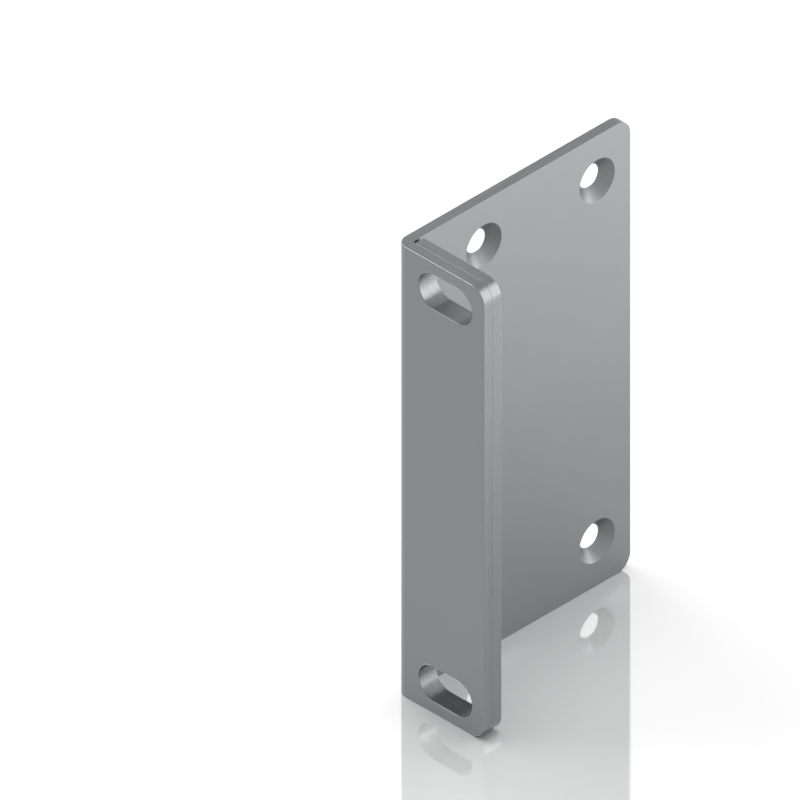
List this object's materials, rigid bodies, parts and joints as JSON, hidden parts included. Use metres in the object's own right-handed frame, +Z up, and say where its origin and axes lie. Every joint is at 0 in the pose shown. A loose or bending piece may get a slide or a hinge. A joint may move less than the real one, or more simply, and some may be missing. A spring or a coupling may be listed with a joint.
{
  "type": "rack mount ear bracket",
  "caption": "Folded sheet-metal ear that fixes a chassis to rack rails: a slotted flange backed by a doubler plate, and a side plate with countersunk holes.",
  "frame": {"origin": "centre of the rectangle of four chassis holes, on the side plate's chassis face", "axes": "+Z up the rack, -Y towards the front of the rack, -X towards the chassis, +X along the flange to its free edge"},
  "size_m": [0.02, 0.0511, 0.0874],
  "materials": {
    "satin_steel": "satin"
  },
  "bodies": {
    "root": {"folded_plate": "satin_steel", "doubler_plate": "satin_steel"}
  },
  "joints": []
}
